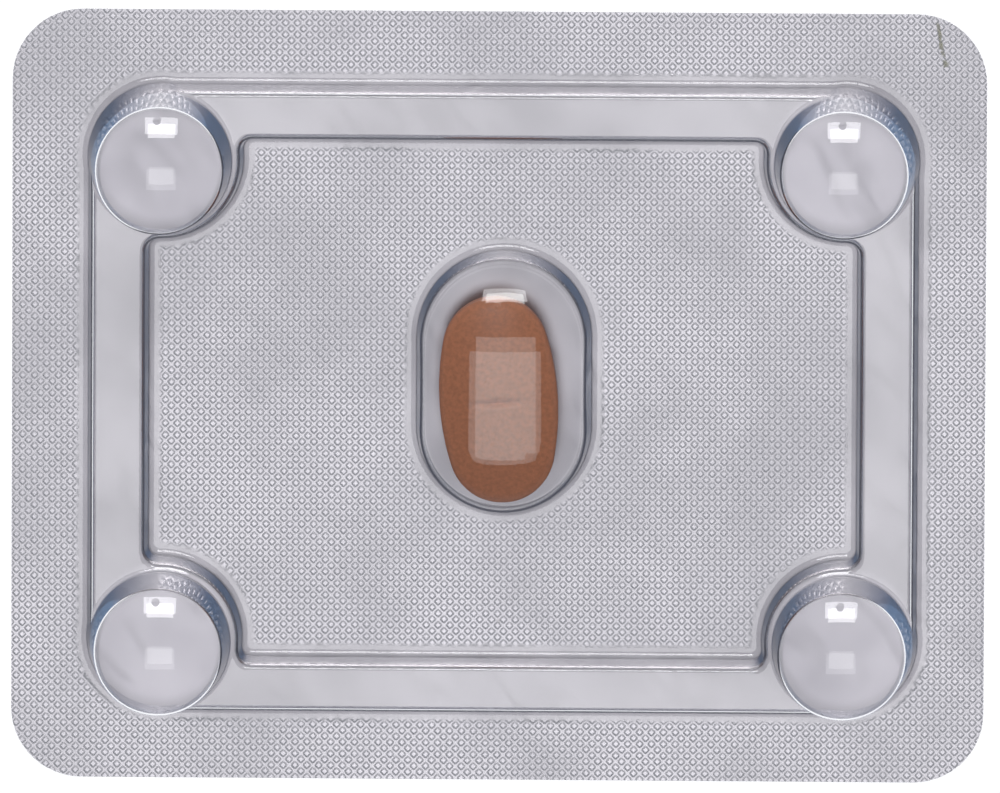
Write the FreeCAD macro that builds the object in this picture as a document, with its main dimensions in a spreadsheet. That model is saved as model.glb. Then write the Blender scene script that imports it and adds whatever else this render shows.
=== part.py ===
import FreeCAD
import Part
import Sketcher

import math
import os

# A clear thermoformed blister card that holds one oval tablet. Its pieces are the formed film, the
# foil sealed to the film's back, and the tablet, which lies loose in the pocket in the middle.
# A raised channel runs round the middle panel and joins four tall round studs. The film's bends
# are drawn as flat bevels.
# Frame: millimetres, +Z up, the foil's underside at zero, the card's centre over the origin, and
# the long side of the card along X.

SIZES = [
    ("card_length", 81.0, "long side of the card, along X"),
    ("card_width", 64.5, "short side of the card, along Y"),
    ("card_corner_radius", 5.85, "rounded corners of the card"),
    ("foil_thickness", 0.06, "lidding foil with its seal coat"),
    ("film_thickness", 0.25, "wall of the formed film, the same everywhere"),
    ("draft_angle", 5.0, "lean of every formed wall, in degrees"),
    ("foot_bevel", 0.45, "flare where a wall leaves the flat of the card"),
    ("group_offset_x", 0.37, "the formed shapes lie this far off the card's centre"),
    ("group_offset_y", -0.13, "the same along Y"),
    ("stud_spacing_x", 56.8, "axis to axis along X"),
    ("stud_spacing_y", 40.3, "axis to axis along Y"),
    ("stud_base_radius", 6.2, "wall of a stud at the level of the card"),
    ("stud_height", 11.6, "crest of a stud over the card"),
    ("stud_crest_radius", 1.9, "flat middle of a stud's crown"),
    ("stud_crown_radius", 4.2, "edge of the crown, where the rim begins"),
    ("stud_crown_slope", 17.0, "fall of the crown round the crest, in degrees"),
    ("stud_rim_slope", 52.0, "fall of the rim between crown and wall, in degrees"),
    ("channel_height", 3.6, "flat top of the channel over the card"),
    ("channel_rim_bevel", 0.4, "softened upper edges of the channel"),
    ("channel_inset", 0.1, "the studs stand this far proud of the channel's outer wall"),
    ("side_channel_width", 5.05, "base of the two channels that run along Y"),
    ("end_channel_width", 4.5, "base of the two channels that run along X"),
    ("collar_radius", 6.8, "base of the channel's inner wall where it goes round a stud"),
    ("panel_corner_radius", 1.0, "rounded corners of the panel beside a stud"),
    ("pocket_length", 22.0, "base of the tablet's pocket along Y"),
    ("pocket_width", 14.6, "base of the tablet's pocket along X"),
    ("pocket_height", 6.6, "crest of the pocket over the card"),
    ("pocket_rim_bevel", 0.6, "softened edge between the pocket's wall and its crown"),
    ("pocket_crown_across", 26.0, "radius of the crown across the pocket"),
    ("pocket_crown_along", 76.0, "radius of the crown along the pocket"),
    ("pocket_offset_x", 0.1, "pocket off the centre of the formed group"),
    ("pocket_offset_y", 1.5, "the same along Y"),
    ("tablet_length", 17.1, "tablet, tip to tip"),
    ("tablet_width", 9.8, "tablet across"),
    ("tablet_thickness", 5.6, "tablet, crest to crest"),
    ("tablet_end_share", 0.449, "radius of the round ends, as a share of the width"),
    ("tablet_cup_across", 8.6, "radius of each face across the tablet"),
    ("tablet_cup_level", 7.0, "level length in the middle of each face"),
    ("tablet_cup_slope", 13.0, "fall of each face towards the tips, in degrees"),
    ("score_width", 0.9, "score line across the upper face"),
    ("score_depth", 0.45, "its depth at the crest; its bottom is straight"),
    ("tablet_offset_x", 0.07, "where the tablet has slid to, from the card's centre"),
    ("tablet_offset_y", 0.13, "the same along Y"),
    ("tablet_turn", 4.0, "the tablet lies turned by this many degrees"),
]

LEVEL = 1e-5
QUADRANTS = [(1, 1), (-1, 1), (-1, -1), (1, -1)]

doc = FreeCAD.newDocument("blister_card")
sheet = doc.addObject("Spreadsheet::Sheet", "Sizes")
for row, (alias, value, note) in enumerate(SIZES, start=1):
    sheet.set(f"A{row}", str(value))
    sheet.setAlias(f"A{row}", alias)
    sheet.set(f"B{row}", note)
doc.recompute()


def amount(expression):
    """An expression over the sheet as a number, to start a sketch near its solution."""
    value = doc.Sizes.evalExpression(expression)
    return float(getattr(value, "Value", value))


def point(x, y):
    return FreeCAD.Vector(x, y, 0)


def origin_plane(body, role):
    return next(plane for plane in body.Origin.OriginFeatures if plane.Role == role)


def new_sketch(body, name, role="XY_Plane"):
    sketch = body.newObject("Sketcher::SketchObject", name)
    sketch.AttachmentSupport = [(origin_plane(body, role), "")]
    sketch.MapMode = "FlatFace"
    return sketch


def draw_chain(sketch, pieces):
    """Draws a closed chain of lines and arcs that touch smoothly. Returns their numbers."""
    numbers = []
    ends = []
    for piece in pieces:
        if piece[0] == "line":
            start, end = piece[1:]
            numbers.append(sketch.addGeometry(Part.LineSegment(point(*start), point(*end)), False))
            ends.append((1, 2))
            continue
        centre, radius, start, end, turn = piece[1:]
        if turn < 0:
            start, end = end, start
        first = math.atan2(start[1] - centre[1], start[0] - centre[0])
        last = math.atan2(end[1] - centre[1], end[0] - centre[0])
        circle = Part.Circle(point(*centre), FreeCAD.Vector(0, 0, 1), radius)
        numbers.append(sketch.addGeometry(Part.ArcOfCircle(circle, first, last), False))
        ends.append((1, 2) if turn > 0 else (2, 1))
    for place, number in enumerate(numbers):
        after = (place + 1) % len(numbers)
        sketch.addConstraint(
            Sketcher.Constraint("Tangent", number, ends[place][1], numbers[after], ends[after][0])
        )
    return numbers


def hold(sketch, kind, parts, expression):
    """A dimension of a sketch, tied to the sheet."""
    number = sketch.addConstraint(Sketcher.Constraint(kind, *parts, amount(expression)))
    sketch.setExpression(f"Constraints[{number}]", expression)


def draw_rounded_rectangle(sketch, half_x, half_y, radius, middle_x="0", middle_y="0"):
    """Sides half_x and half_y from the middle, with four equal corner arcs."""
    a, b, r = amount(half_x), amount(half_y), amount(radius)
    mx, my = amount(middle_x), amount(middle_y)
    pieces = []
    for sx, sy in QUADRANTS:
        centre = (mx + sx * (a - r), my + sy * (b - r))
        on_side = (mx + sx * a, centre[1])
        on_end = (centre[0], my + sy * b)
        if sx * sy > 0:
            pieces.append(("arc", centre, r, on_side, on_end, 1))
            pieces.append(("line", on_end, (mx - sx * (a - r), on_end[1])))
        else:
            pieces.append(("arc", centre, r, on_end, on_side, 1))
            pieces.append(("line", on_side, (on_side[0], my - sy * (b - r))))
    numbers = draw_chain(sketch, pieces)
    arcs, lines = numbers[0::2], numbers[1::2]
    for line in (lines[0], lines[2]):
        sketch.addConstraint(Sketcher.Constraint("Horizontal", line))
    for line in (lines[1], lines[3]):
        sketch.addConstraint(Sketcher.Constraint("Vertical", line))
    for arc in arcs[1:]:
        sketch.addConstraint(Sketcher.Constraint("Equal", arcs[0], arc))
    hold(sketch, "Radius", (arcs[0],), radius)
    hold(sketch, "DistanceY", (-1, 1, lines[0], 1), f"{middle_y} + {half_y}")
    hold(sketch, "DistanceX", (-1, 1, lines[1], 1), f"{middle_x} - ({half_x})")
    hold(sketch, "DistanceY", (-1, 1, lines[2], 1), f"{middle_y} - ({half_y})")
    hold(sketch, "DistanceX", (-1, 1, lines[3], 1), f"{middle_x} + {half_x}")
    return arcs


def draw_panel_outline(sketch, half_x, half_y, collar, corner, studs):
    """The channel's inner outline: straight sides, and a hollow arc round each stud.

    studs are the arcs of the outer outline, which share their centres with the hollow arcs.
    """
    a, b, big, small = amount(half_x), amount(half_y), amount(collar), amount(corner)
    stud_x, stud_y = amount("Sizes.stud_spacing_x / 2"), amount("Sizes.stud_spacing_y / 2")
    by_end = (stud_x - math.sqrt((big + small) ** 2 - (stud_y - b + small) ** 2), b - small)
    by_side = (a - small, stud_y - math.sqrt((big + small) ** 2 - (stud_x - a + small) ** 2))
    share = big / (big + small)
    touch_end = [stud_x + (by_end[0] - stud_x) * share, stud_y + (by_end[1] - stud_y) * share]
    touch_side = [stud_x + (by_side[0] - stud_x) * share, stud_y + (by_side[1] - stud_y) * share]
    pieces = []
    for sx, sy in QUADRANTS:

        def placed(spot, sx=sx, sy=sy):
            return (sx * spot[0], sy * spot[1])

        side_line, end_line = placed((a, by_side[1])), placed((by_end[0], b))
        near_side = (placed(by_side), small, side_line, placed(touch_side))
        hollow = (placed((stud_x, stud_y)), big, placed(touch_side), placed(touch_end))
        near_end = (placed(by_end), small, placed(touch_end), end_line)
        if sx * sy > 0:
            pieces.append(("arc", *near_side, 1))
            pieces.append(("arc", *hollow, -1))
            pieces.append(("arc", *near_end, 1))
            pieces.append(("line", end_line, (-end_line[0], end_line[1])))
        else:
            pieces.append(("arc", near_end[0], small, near_end[3], near_end[2], 1))
            pieces.append(("arc", hollow[0], big, hollow[3], hollow[2], -1))
            pieces.append(("arc", near_side[0], small, near_side[3], near_side[2], 1))
            pieces.append(("line", side_line, (side_line[0], -side_line[1])))
    numbers = draw_chain(sketch, pieces)
    corners = numbers[0::4] + numbers[2::4]
    hollows = numbers[1::4]
    lines = numbers[3::4]
    for stud, arc in zip(studs, hollows):
        sketch.addConstraint(Sketcher.Constraint("Coincident", stud, 3, arc, 3))
    for arc in hollows[1:]:
        sketch.addConstraint(Sketcher.Constraint("Equal", hollows[0], arc))
    for arc in corners[1:]:
        sketch.addConstraint(Sketcher.Constraint("Equal", corners[0], arc))
    for line in (lines[0], lines[2]):
        sketch.addConstraint(Sketcher.Constraint("Horizontal", line))
    for line in (lines[1], lines[3]):
        sketch.addConstraint(Sketcher.Constraint("Vertical", line))
    hold(sketch, "Radius", (hollows[0],), collar)
    hold(sketch, "Radius", (corners[0],), corner)
    hold(sketch, "DistanceY", (-1, 1, lines[0], 1), half_y)
    hold(sketch, "DistanceX", (-1, 1, lines[1], 1), f"-({half_x})")
    hold(sketch, "DistanceY", (-1, 1, lines[2], 1), f"-({half_y})")
    hold(sketch, "DistanceX", (-1, 1, lines[3], 1), half_x)


def draw_card_outline(sketch, middle_x, middle_y):
    draw_rounded_rectangle(
        sketch,
        "Sizes.card_length / 2",
        "Sizes.card_width / 2",
        "Sizes.card_corner_radius",
        middle_x,
        middle_y,
    )


def edges_at(shape, height):
    """Names of the level edges at one height, apart from those on the rim of the card."""
    card = shape.BoundBox
    names = []
    for number, edge in enumerate(shape.Edges, start=1):
        box = edge.BoundBox
        level = abs(box.ZMin - height) < LEVEL and abs(box.ZMax - height) < LEVEL
        in_x = box.XMin > card.XMin + LEVEL and box.XMax < card.XMax - LEVEL
        in_y = box.YMin > card.YMin + LEVEL and box.YMax < card.YMax - LEVEL
        if level and in_x and in_y:
            names.append(f"Edge{number}")
    return names


def bevel_edges(body, name, base, edges, size):
    doc.recompute()
    bevel = body.newObject("PartDesign::Chamfer", name)
    bevel.Base = (base, edges)
    bevel.setExpression("Size", size)
    doc.recompute()
    return bevel


def draw_stud_section(sketch, inward, base, foot):
    """Half of a stud's section from its axis out: crest, crown, rim, leaning wall and flared foot."""
    slopes = ["Sizes.stud_crown_slope", "Sizes.stud_rim_slope", "90 - Sizes.draft_angle"]
    crown, rim, wall = (math.radians(amount(slope)) for slope in slopes)
    crest_edge = f"Sizes.stud_crest_radius - ({inward}) * tan(Sizes.stud_crown_slope * 1 deg / 2)"
    both = "(Sizes.stud_crown_slope + Sizes.stud_rim_slope) * 1 deg / 2"
    apart = "(Sizes.stud_rim_slope - Sizes.stud_crown_slope) * 1 deg / 2"
    crown_edge = f"Sizes.stud_crown_radius - ({inward}) * sin({both}) / cos({apart})"
    top, below = amount("Sizes.stud_height"), -amount("Sizes.film_thickness")
    floor_edge = (amount(f"{base} + {foot}"), 0.0)
    wall_foot = (
        amount(base) - amount(foot) * math.cos(wall),
        amount(foot) * math.sin(wall),
    )
    inner = (amount(crest_edge), top)
    outer_x = amount(crown_edge)
    outer = (outer_x, top - (outer_x - inner[0]) * math.tan(crown))
    rise = wall_foot[1] - outer[1] + (wall_foot[0] - outer[0]) * math.tan(rim)
    reach = rise / (math.tan(rim) - math.tan(wall))
    shoulder = (wall_foot[0] - reach, wall_foot[1] + reach * math.tan(wall))
    corners = [
        (0.0, top),
        inner,
        outer,
        shoulder,
        wall_foot,
        floor_edge,
        (floor_edge[0], below),
        (0.0, below),
    ]
    lines = [
        sketch.addGeometry(Part.LineSegment(point(*start), point(*end)), False)
        for start, end in zip(corners, corners[1:] + corners[:1])
    ]
    for line, after in zip(lines, lines[1:] + lines[:1]):
        sketch.addConstraint(Sketcher.Constraint("Coincident", line, 2, after, 1))
    crest, crown_line, rim_line, wall_line, flare_line, edge, floor, axis = lines
    for parts in (
        ("Horizontal", crest),
        ("Vertical", edge),
        ("Horizontal", floor),
        ("PointOnObject", axis, 1, -2),
        ("PointOnObject", axis, 2, -2),
        ("PointOnObject", edge, 1, -1),
    ):
        sketch.addConstraint(Sketcher.Constraint(*parts))
    hold(sketch, "DistanceY", (-1, 1, crest, 1), "Sizes.stud_height")
    hold(sketch, "DistanceX", (-1, 1, crest, 2), crest_edge)
    hold(sketch, "DistanceX", (-1, 1, crown_line, 2), crown_edge)
    for line, slope in ((crown_line, slopes[0]), (rim_line, slopes[1]), (wall_line, slopes[2])):
        number = sketch.addConstraint(
            Sketcher.Constraint("Angle", line, 1, -1, 1, math.radians(amount(slope)))
        )
        sketch.setExpression(f"Constraints[{number}]", f"({slope}) * 1 deg")
    hold(sketch, "DistanceX", (-1, 1, edge, 1), f"{base} + {foot}")
    lean = "Sizes.draft_angle * 1 deg"
    hold(sketch, "DistanceX", (-1, 1, wall_line, 2), f"{base} - ({foot}) * sin({lean})")
    hold(sketch, "DistanceY", (-1, 1, wall_line, 2), f"({foot}) * cos({lean})")
    hold(sketch, "DistanceY", (floor, 1, -1, 1), "Sizes.film_thickness")


def draw_obround(sketch, half_width, half_length):
    """A slot shape along Y: two straight sides joined by half circles."""
    a, b = amount(half_width), amount(half_length)
    numbers = draw_chain(
        sketch,
        [
            ("arc", (0.0, b - a), a, (a, b - a), (-a, b - a), 1),
            ("line", (-a, b - a), (-a, a - b)),
            ("arc", (0.0, a - b), a, (-a, a - b), (a, a - b), 1),
            ("line", (a, a - b), (a, b - a)),
        ],
    )
    sketch.addConstraint(Sketcher.Constraint("Vertical", numbers[1]))
    sketch.addConstraint(Sketcher.Constraint("PointOnObject", numbers[0], 3, -2))
    sketch.addConstraint(Sketcher.Constraint("PointOnObject", numbers[2], 3, -2))
    hold(sketch, "Radius", (numbers[0],), half_width)
    hold(sketch, "DistanceY", (-1, 1, numbers[0], 3), f"{half_length} - ({half_width})")
    hold(sketch, "DistanceY", (numbers[2], 3, -1, 1), f"{half_length} - ({half_width})")


def draw_oval(sketch, width, length, end_radius):
    """A tablet's outline: two wide arcs for the sides and two small ones for the ends."""
    end_centre = f"{length} / 2 - {end_radius}"
    side_radius = (
        f"(({width} / 2)^2 + ({end_centre})^2 - ({end_radius})^2) / ({width} - 2 * {end_radius})"
    )
    small, wide, reach = amount(end_radius), amount(side_radius), amount(end_centre)
    shift = wide - amount(width) / 2
    share = wide / (wide - small)
    touch = (-shift + shift * share, reach * share)
    north, south, east, west = (0.0, reach), (0.0, -reach), (-shift, 0.0), (shift, 0.0)
    numbers = draw_chain(
        sketch,
        [
            ("arc", east, wide, (touch[0], -touch[1]), touch, 1),
            ("arc", north, small, touch, (-touch[0], touch[1]), 1),
            ("arc", west, wide, (-touch[0], touch[1]), (-touch[0], -touch[1]), 1),
            ("arc", south, small, (-touch[0], -touch[1]), (touch[0], -touch[1]), 1),
        ],
    )
    for end in (numbers[1], numbers[3]):
        sketch.addConstraint(Sketcher.Constraint("PointOnObject", end, 3, -2))
        hold(sketch, "Radius", (end,), end_radius)
    hold(sketch, "DistanceY", (-1, 1, numbers[1], 3), end_centre)
    hold(sketch, "DistanceY", (numbers[3], 3, -1, 1), end_centre)
    hold(sketch, "Radius", (numbers[0],), side_radius)
    hold(sketch, "Radius", (numbers[2],), side_radius)


def draw_crown_section(sketch, across, along, half_width, crest, rise):
    """What is taken off to leave a crowned top: all above an arc, up to a height of `rise`.

    A guide line, deep below the crest, is the axis that the section swings about.
    """
    radius, deep, wide = amount(across), amount(along), amount(half_width)
    top, tall = amount(crest), amount(rise)
    low = top - radius + math.sqrt(radius**2 - wide**2)
    lean = math.asin(wide / radius)
    circle = Part.Circle(point(0, top - radius), FreeCAD.Vector(0, 0, 1), radius)
    arc = sketch.addGeometry(
        Part.ArcOfCircle(circle, math.pi / 2 - lean, math.pi / 2 + lean), False
    )
    corners = [(-wide, low), (-wide, low + tall), (wide, low + tall), (wide, low)]
    left, lid, right = (
        sketch.addGeometry(Part.LineSegment(point(*start), point(*end)), False)
        for start, end in zip(corners, corners[1:])
    )
    axis = sketch.addGeometry(
        Part.LineSegment(point(-wide, top - deep), point(wide, top - deep)), True
    )
    for parts in (
        ("Coincident", arc, 2, left, 1),
        ("Coincident", left, 2, lid, 1),
        ("Coincident", lid, 2, right, 1),
        ("Coincident", right, 2, arc, 1),
        ("Vertical", left),
        ("Vertical", right),
        ("Horizontal", lid),
        ("PointOnObject", arc, 3, -2),
        ("Symmetric", axis, 1, axis, 2, -2),
    ):
        sketch.addConstraint(Sketcher.Constraint(*parts))
    hold(sketch, "Radius", (arc,), across)
    hold(sketch, "DistanceY", (-1, 1, arc, 3), f"{crest} - ({across})")
    hold(sketch, "DistanceX", (-1, 1, right, 1), half_width)
    hold(sketch, "DistanceX", (left, 1, -1, 1), half_width)
    hold(sketch, "DistanceY", (arc, 1, right, 1), rise)
    hold(sketch, "DistanceX", (-1, 1, axis, 2), half_width)
    hold(sketch, "DistanceY", (-1, 1, axis, 2), f"{crest} - ({along})")


def add_pad(body, name, sketch, length):
    pad = body.newObject("PartDesign::Pad", name)
    pad.Profile = sketch
    pad.setExpression("Length", length)
    return pad


def cut_crown(body, name, section, half_length, along):
    """Swings the section over the whole length of what it crowns."""
    doc.recompute()
    crown = body.newObject("PartDesign::Groove", name)
    crown.Profile = section
    crown.ReferenceAxis = (section, ["Axis0"])
    crown.Midplane = True
    crown.setExpression("Angle", f"2 * asin(({half_length}) / ({along}))")
    doc.recompute()
    return crown


def crown_edges(shape):
    """Names of the edges round the crowned faces, the only ones that are curved both ways."""
    crowned = [face for face in shape.Faces if face.Surface.TypeId == "Part::GeomToroid"]
    names = []
    for number, edge in enumerate(shape.Edges, start=1):
        if any(edge.isSame(other) for face in crowned for other in face.Edges):
            names.append(f"Edge{number}")
    return names


def make_pocket(body, name, inward, shift):
    """The tablet's pocket: a leaning obround wall under a crown that is curved both ways."""
    outline = new_sketch(body, f"{name}_pocket_outline")
    draw_obround(
        outline, f"Sizes.pocket_width / 2 - {shift}", f"Sizes.pocket_length / 2 - {shift}"
    )
    outline.setExpression("AttachmentOffset.Base.x", "Sizes.pocket_offset_x")
    outline.setExpression("AttachmentOffset.Base.y", "Sizes.pocket_offset_y")
    wall = add_pad(body, f"{name}_pocket", outline, "Sizes.pocket_height")
    wall.setExpression("TaperAngle", "-Sizes.draft_angle")
    section = new_sketch(body, f"{name}_crown_section", "XZ_Plane")
    along = f"Sizes.pocket_crown_along - {inward}"
    draw_crown_section(
        section,
        f"Sizes.pocket_crown_across - {inward}",
        along,
        "Sizes.pocket_width / 2 + Sizes.foot_bevel",
        "Sizes.pocket_height",
        "Sizes.pocket_height",
    )
    section.setExpression("AttachmentOffset.Base.x", "Sizes.pocket_offset_x")
    section.setExpression("AttachmentOffset.Base.z", "-Sizes.pocket_offset_y")
    half_length = "Sizes.pocket_length / 2 + Sizes.foot_bevel"
    crown = cut_crown(body, f"{name}_crown", section, half_length, along)
    rim = f"Sizes.pocket_rim_bevel - ({inward}) / 2"
    bevel_edges(body, f"{name}_pocket_rim", crown, crown_edges(crown.Shape), rim)


def make_channel(body, name, shift, narrow):
    """The channel: outer walls that touch the studs, inner walls that go round them."""
    outline = new_sketch(body, f"{name}_channel_outline")
    outer = f"Sizes.stud_base_radius - Sizes.channel_inset - {shift}"
    half_x = "Sizes.stud_spacing_x / 2 + Sizes.stud_base_radius - Sizes.channel_inset"
    half_y = "Sizes.stud_spacing_y / 2 + Sizes.stud_base_radius - Sizes.channel_inset"
    studs = draw_rounded_rectangle(outline, f"{half_x} - {shift}", f"{half_y} - {shift}", outer)
    draw_panel_outline(
        outline,
        f"{half_x} - Sizes.side_channel_width + {shift}",
        f"{half_y} - Sizes.end_channel_width + {shift}",
        f"Sizes.collar_radius - {shift}",
        f"Sizes.panel_corner_radius + {shift}",
        studs,
    )
    ring = add_pad(body, f"{name}_channel", outline, "Sizes.channel_height")
    ring.setExpression("TaperAngle", "-Sizes.draft_angle")
    doc.recompute()
    rims = edges_at(ring.Shape, amount("Sizes.channel_height"))
    return bevel_edges(
        body, f"{name}_channel_rim", ring, rims, f"Sizes.channel_rim_bevel - {narrow}"
    )


def make_studs(body, name, inward, shift, foot):
    """One stud, turned about its own axis, and its copies at the other corners."""
    section = new_sketch(body, f"{name}_stud_section", "XZ_Plane")
    draw_stud_section(section, inward, f"Sizes.stud_base_radius - {shift}", foot)
    section.setExpression("AttachmentOffset.Base.x", "-Sizes.stud_spacing_x / 2")
    section.setExpression("AttachmentOffset.Base.z", "Sizes.stud_spacing_y / 2")
    doc.recompute()
    stud = body.newObject("PartDesign::Revolution", f"{name}_stud")
    stud.Profile = section
    stud.ReferenceAxis = (section, ["V_Axis"])
    stud.Angle = 360
    doc.recompute()
    studs = body.newObject("PartDesign::MultiTransform", f"{name}_studs")
    studs.Originals = [stud]
    rows = []
    for axis in ("x", "y"):
        row = body.newObject("PartDesign::LinearPattern", f"{name}_{axis}_row")
        row.Direction = (origin_plane(body, f"{axis.upper()}_Axis"), [""])
        row.Occurrences = 2
        row.setExpression("Length", f"Sizes.stud_spacing_{axis}")
        rows.append(row)
    studs.Transformations = rows
    return studs


def make_form(name, inward, level):
    """One face of the formed film as a solid on a slab that is one film thick.

    The film is what lies between two such solids: one for its upper face and one, inward by the
    film's thickness, for its lower face. level is the height of the flat that the shapes rise from.
    """
    body = doc.addObject("PartDesign::Body", name)
    # a leaning wall whose face moves in by `inward` moves in by this much at the level of the flat
    shift = f"({inward}) * tan(45 deg - Sizes.draft_angle * 1 deg / 2)"
    # and the bevels at its top and foot grow narrower and wider by this much
    narrow = f"({shift} - ({inward}) * tan(22.5 deg - Sizes.draft_angle * 1 deg / 4))"
    foot = f"Sizes.foot_bevel + {narrow}"
    slab = new_sketch(body, f"{name}_slab_outline")
    draw_card_outline(slab, "-Sizes.group_offset_x", "-Sizes.group_offset_y")
    add_pad(body, f"{name}_slab", slab, "Sizes.film_thickness").Reversed = True
    make_pocket(body, name, inward, shift)
    channel = make_channel(body, name, shift, narrow)
    feet = edges_at(channel.Shape, 0.0)
    bevel_edges(body, f"{name}_feet", channel, feet, foot)
    body.Tip = make_studs(body, name, inward, shift, foot)
    body.setExpression("Placement.Base.x", "Sizes.group_offset_x")
    body.setExpression("Placement.Base.y", "Sizes.group_offset_y")
    body.setExpression("Placement.Base.z", level)
    return body


def make_film():
    outside = make_form("film_outside", "0", "Sizes.foil_thickness + Sizes.film_thickness")
    inside = make_form("film_inside", "Sizes.film_thickness", "Sizes.foil_thickness")
    film = doc.addObject("Part::Cut", "forming_film")
    film.Base = outside
    film.Tool = inside
    return film


def make_foil():
    body = doc.addObject("PartDesign::Body", "lidding_foil")
    outline = new_sketch(body, "foil_outline")
    draw_card_outline(outline, "0", "0")
    add_pad(body, "foil_sheet", outline, "Sizes.foil_thickness")
    return body


def draw_cup_section(sketch, crest):
    """What is taken off to leave one face of the tablet: all above an arc that peaks at crest."""
    half_width = "Sizes.tablet_width / 2 + Sizes.score_width"
    radius, wide = amount("Sizes.tablet_cup_across"), amount(half_width)
    top, tall = amount(crest), amount("Sizes.tablet_thickness")
    low = top - radius + math.sqrt(radius**2 - wide**2)
    lean = math.asin(wide / radius)
    circle = Part.Circle(point(0, top - radius), FreeCAD.Vector(0, 0, 1), radius)
    arc = sketch.addGeometry(
        Part.ArcOfCircle(circle, math.pi / 2 - lean, math.pi / 2 + lean), False
    )
    corners = [(-wide, low), (-wide, low + tall), (wide, low + tall), (wide, low)]
    left, lid, right = (
        sketch.addGeometry(Part.LineSegment(point(*start), point(*end)), False)
        for start, end in zip(corners, corners[1:])
    )
    for parts in (
        ("Coincident", arc, 2, left, 1),
        ("Coincident", left, 2, lid, 1),
        ("Coincident", lid, 2, right, 1),
        ("Coincident", right, 2, arc, 1),
        ("Vertical", left),
        ("Vertical", right),
        ("Horizontal", lid),
        ("PointOnObject", arc, 3, -2),
    ):
        sketch.addConstraint(Sketcher.Constraint(*parts))
    hold(sketch, "Radius", (arc,), "Sizes.tablet_cup_across")
    hold(sketch, "DistanceY", (-1, 1, arc, 3), f"{crest} - Sizes.tablet_cup_across")
    hold(sketch, "DistanceX", (-1, 1, right, 2), half_width)
    hold(sketch, "DistanceX", (left, 1, -1, 1), half_width)
    hold(sketch, "DistanceY", (arc, 1, right, 1), "Sizes.tablet_thickness")


def draw_score_section(sketch, crest):
    """A groove with a sharp bottom, open upwards."""
    half, deep, top = amount("Sizes.score_width / 2"), amount("Sizes.score_depth"), amount(crest)
    corners = [(-half, top), (0.0, top - deep), (half, top)]
    lines = [
        sketch.addGeometry(Part.LineSegment(point(*start), point(*end)), False)
        for start, end in zip(corners, corners[1:] + corners[:1])
    ]
    for line, after in zip(lines, lines[1:] + lines[:1]):
        sketch.addConstraint(Sketcher.Constraint("Coincident", line, 2, after, 1))
    sketch.addConstraint(Sketcher.Constraint("PointOnObject", lines[0], 2, -2))
    sketch.addConstraint(Sketcher.Constraint("Horizontal", lines[2]))
    hold(sketch, "DistanceY", (-1, 1, lines[0], 1), crest)
    hold(sketch, "DistanceY", (-1, 1, lines[0], 2), f"{crest} - Sizes.score_depth")
    hold(sketch, "DistanceX", (-1, 1, lines[1], 2), "Sizes.score_width / 2")
    hold(sketch, "DistanceX", (lines[0], 1, -1, 1), "Sizes.score_width / 2")


def make_tablet():
    """An oval tablet with two cupped faces, a belly band and a score line across the upper face.

    Each face is round across the tablet, level in the middle and falls towards the tips. The
    tablet is drawn round its own middle, and then turned and laid on the foil.
    """
    body = doc.addObject("PartDesign::Body", "tablet")
    outline = new_sketch(body, "tablet_outline")
    end_radius = "Sizes.tablet_width * Sizes.tablet_end_share"
    draw_oval(outline, "Sizes.tablet_width", "Sizes.tablet_length", end_radius)
    blank = add_pad(body, "tablet_blank", outline, "Sizes.tablet_thickness")
    blank.Midplane = True
    crest = "Sizes.tablet_thickness / 2"
    slope = "Sizes.tablet_cup_slope * 1 deg"
    sloping_crest = f"{crest} * cos({slope}) + Sizes.tablet_cup_level / 2 * sin({slope})"
    cuts = []
    for part, height, turn in (
        ("middle", crest, "0"),
        ("north", sloping_crest, "-1"),
        ("south", sloping_crest, "1"),
    ):
        section = new_sketch(body, f"{part}_cup_section", "XZ_Plane")
        draw_cup_section(section, height)
        section.setExpression("AttachmentOffset.Rotation.Angle", f"{turn} * {slope}")
        section.AttachmentOffset.Rotation.Axis = FreeCAD.Vector(1, 0, 0)
        cut = body.newObject("PartDesign::Pocket", f"{part}_cup")
        cut.Profile = section
        cut.Midplane = True
        cut.setExpression("Length", "2 * Sizes.tablet_length")
        cuts.append(cut)
    faces = body.newObject("PartDesign::Mirrored", "both_cups")
    faces.Originals = cuts
    faces.MirrorPlane = (origin_plane(body, "XY_Plane"), [""])
    body.Tip = faces

    score = new_sketch(body, "score_section", "YZ_Plane")
    draw_score_section(score, crest)
    line = body.newObject("PartDesign::Pocket", "score_line")
    line.Profile = score
    line.Midplane = True
    line.setExpression("Length", "2 * Sizes.tablet_width")

    body.setExpression("Placement.Base.x", "Sizes.tablet_offset_x")
    body.setExpression("Placement.Base.y", "Sizes.tablet_offset_y")
    body.setExpression("Placement.Base.z", f"Sizes.foil_thickness + {crest}")
    body.setExpression("Placement.Rotation.Angle", "Sizes.tablet_turn * 1 deg")
    return body


pieces = [make_film(), make_foil(), make_tablet()]
doc.recompute()

for thing in doc.Objects:
    if "Invalid" in thing.State or "Error" in thing.State:
        raise RuntimeError(f"{thing.Name} failed: {thing.getStatusString()}")
for piece in pieces:
    shape = piece.Shape
    if shape.isNull() or not shape.isValid() or len(shape.Solids) != 1:
        raise RuntimeError(f"{piece.Label} is not one sound solid")

os.makedirs("parts", exist_ok=True)
for piece in pieces:
    piece.Shape.exportStep(os.path.join("parts", f"{piece.Label}.step"))
    print(f"{piece.Label}: {piece.Shape.Volume:.2f} cubic mm")
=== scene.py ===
import math

import bpy
import numpy as np
from mathutils import Matrix, Vector
from mathutils.geometry import delaunay_2d_cdt


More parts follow.
